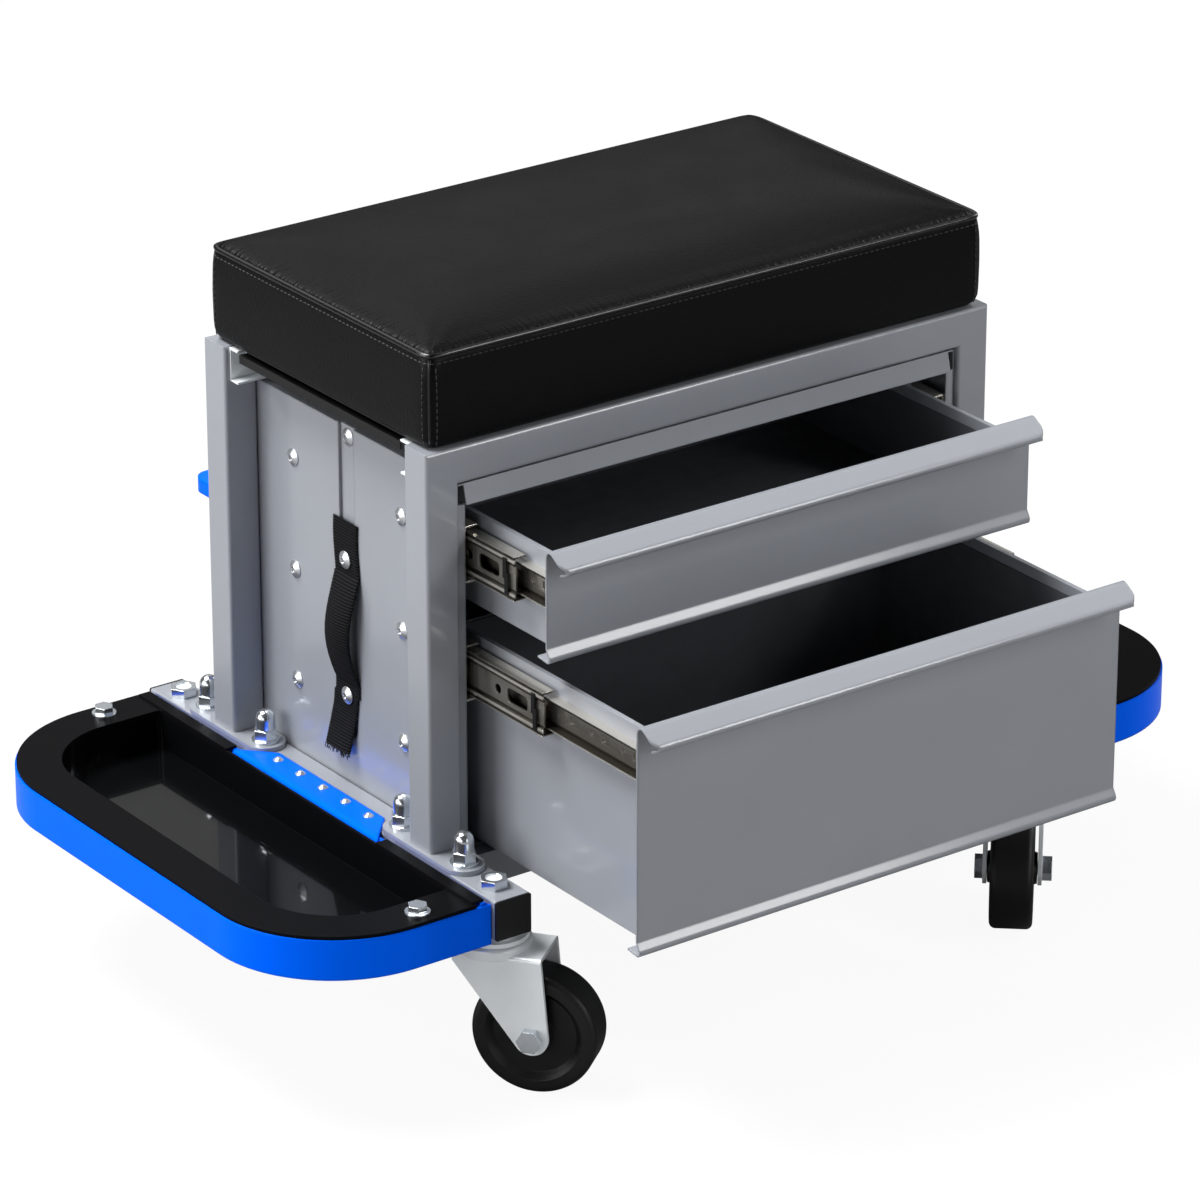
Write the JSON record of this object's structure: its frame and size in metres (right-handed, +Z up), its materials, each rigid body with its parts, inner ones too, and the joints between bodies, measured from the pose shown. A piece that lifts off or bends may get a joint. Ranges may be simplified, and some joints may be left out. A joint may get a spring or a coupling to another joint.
{
  "type": "creeper seat",
  "caption": "Rolling mechanic's seat: padded top, two drawers, under-seat tray, folding side trays, rear tool rack and swivel casters.",
  "frame": {"origin": "on the floor, below the middle of the bounding box with the drawers part open", "axes": "+X to the right across the drawers, +Y from the drawer fronts to the tool rack, +Z up"},
  "size_m": [0.6788, 0.4802, 0.4426],
  "materials": {
    "grey_powder_coat": "satin powder coat, silver grey",
    "blue_powder_coat": "gloss powder coat, blue",
    "black_enamel": "gloss black enamel on pressed steel",
    "zinc_steel": "bright zinc plate",
    "slide_steel": "cold rolled, nickel tone",
    "aluminium_rivet": "domed rivet, satin",
    "leatherette": "grained black leatherette over foam",
    "plywood": "raw plywood",
    "webbing": "ribbed black webbing",
    "black_mat": "moulded black mat",
    "cap_plastic": "matt black moulding",
    "wheel_polymer": "semi gloss moulded wheel"
  },
  "bodies": {
    "base": {"front_frame": "grey_powder_coat", "rear_frame": "grey_powder_coat", "left_cross_tube": "grey_powder_coat", "right_cross_tube": "grey_powder_coat", "tube_end_caps": "cap_plastic", "lower_rails": "grey_powder_coat", "foot_plates": "grey_powder_coat", "foot_bolts": "zinc_steel", "caster_stems": "zinc_steel", "stem_nuts": "zinc_steel", "cabinet_left_side": "grey_powder_coat", "cabinet_right_side": "grey_powder_coat", "cabinet_shell": "grey_powder_coat", "slide_uprights": "zinc_steel", "panel_rivets": "aluminium_rivet", "webbing_strap": "webbing", "seat_board": "plywood", "seat_screws": "zinc_steel", "seat_cushion": "leatherette", "cabinet_slide_members": "slide_steel", "side_tray_rails": "zinc_steel", "left_hinge_strap": "blue_powder_coat", "right_hinge_strap": "blue_powder_coat", "hinge_rivets": "aluminium_rivet", "tool_rack": "blue_powder_coat", "rack_bolts": "zinc_steel"},
    "seat_tray": {"side_tray": "black_enamel", "side_tray_members": "zinc_steel"},
    "top_drawer": {"top_drawer_front": "grey_powder_coat", "top_drawer_box": "grey_powder_coat", "top_drawer_liner": "black_mat", "top_drawer_members": "slide_steel"},
    "top_slide": {"top_slide_middles": "slide_steel", "top_slide_cages": "zinc_steel", "top_slide_clips": "cap_plastic"},
    "bottom_drawer": {"bottom_drawer_front": "grey_powder_coat", "bottom_drawer_box": "grey_powder_coat", "bottom_drawer_liner": "black_mat", "bottom_drawer_members": "slide_steel"},
    "bottom_slide": {"bottom_slide_middles": "slide_steel", "bottom_slide_cages": "zinc_steel", "bottom_slide_clips": "cap_plastic"},
    "left_tray": {"left_tray_frame": "blue_powder_coat", "left_tray_pan": "black_enamel", "left_tray_bolts": "zinc_steel"},
    "right_tray": {"right_tray_frame": "blue_powder_coat", "right_tray_pan": "black_enamel", "right_tray_bolts": "zinc_steel"},
    "front_left_caster": {"front_left_fork": "zinc_steel", "front_left_axle": "zinc_steel"},
    "front_left_roller": {"front_left_wheel": "wheel_polymer"},
    "front_right_caster": {"front_right_fork": "zinc_steel", "front_right_axle": "zinc_steel"},
    "front_right_roller": {"front_right_wheel": "wheel_polymer"},
    "rear_left_caster": {"rear_left_fork": "zinc_steel", "rear_left_axle": "zinc_steel"},
    "rear_left_roller": {"rear_left_wheel": "wheel_polymer"},
    "rear_right_caster": {"rear_right_fork": "zinc_steel", "rear_right_axle": "zinc_steel"},
    "rear_right_roller": {"rear_right_wheel": "wheel_polymer"}
  },
  "joints": [
    {"name": "top_drawer_pull", "type": "slide", "parent": "base", "child": "top_drawer", "axis": [0, -1, 0], "range_m": [-0.077, 0.106]},
    {"name": "top_slide_follow", "type": "slide", "parent": "base", "child": "top_slide", "axis": [0, -1, 0], "range_m": [-0.0462, 0.0636]},
    {"name": "bottom_drawer_pull", "type": "slide", "parent": "base", "child": "bottom_drawer", "axis": [0, -1, 0], "range_m": [-0.163, 0.03]},
    {"name": "bottom_slide_follow", "type": "slide", "parent": "base", "child": "bottom_slide", "axis": [0, -1, 0], "range_m": [-0.07335, 0.0135]},
    {"name": "seat_tray_pull", "type": "slide", "parent": "base", "child": "seat_tray", "axis": [-1, 0, 0], "range_m": [0, 0.15]},
    {"name": "left_tray_fold", "type": "hinge", "parent": "base", "child": "left_tray", "pos_m": [-0.2111, 0.05295, 0.1204], "axis": [0, 1, 0], "range_deg": [0, 90]},
    {"name": "right_tray_fold", "type": "hinge", "parent": "base", "child": "right_tray", "pos_m": [0.2111, 0.05295, 0.1204], "axis": [0, -1, 0], "range_deg": [0, 90]},
    {"name": "front_left_swivel", "type": "hinge", "parent": "base", "child": "front_left_caster", "pos_m": [-0.19395, -0.11175, 0.0885], "axis": [0, 0, 1], "continuous": true},
    {"name": "front_left_roll", "type": "hinge", "parent": "front_left_caster", "child": "front_left_roller", "pos_m": [-0.17739, -0.13295, 0.0375], "axis": [0.788, 0.6157, 0], "continuous": true},
    {"name": "front_right_swivel", "type": "hinge", "parent": "base", "child": "front_right_caster", "pos_m": [0.19395, -0.11175, 0.0885], "axis": [0, 0, 1], "continuous": true},
    {"name": "front_right_roll", "type": "hinge", "parent": "front_right_caster", "child": "front_right_roller", "pos_m": [0.1763, -0.13205, 0.0375], "axis": [0.7547, -0.6561, 0], "continuous": true},
    {"name": "rear_left_swivel", "type": "hinge", "parent": "base", "child": "rear_left_caster", "pos_m": [-0.19395, 0.21765, 0.0885], "axis": [0, 0, 1], "continuous": true},
    {"name": "rear_left_roll", "type": "hinge", "parent": "rear_left_caster", "child": "rear_left_roller", "pos_m": [-0.19723, 0.19095, 0.0375], "axis": [0.9925, -0.1219, 0], "continuous": true},
    {"name": "rear_right_swivel", "type": "hinge", "parent": "base", "child": "rear_right_caster", "pos_m": [0.19395, 0.21765, 0.0885], "axis": [0, 0, 1], "continuous": true},
    {"name": "rear_right_roll", "type": "hinge", "parent": "rear_right_caster", "child": "rear_right_roller", "pos_m": [0.19676, 0.1909, 0.0375], "axis": [0.9945, 0.1045, 0], "continuous": true}
  ],
  "couplings": [
    {"joint": "top_slide_follow", "follows": "top_drawer_pull", "ratio": 0.6},
    {"joint": "bottom_slide_follow", "follows": "bottom_drawer_pull", "ratio": 0.45}
  ]
}
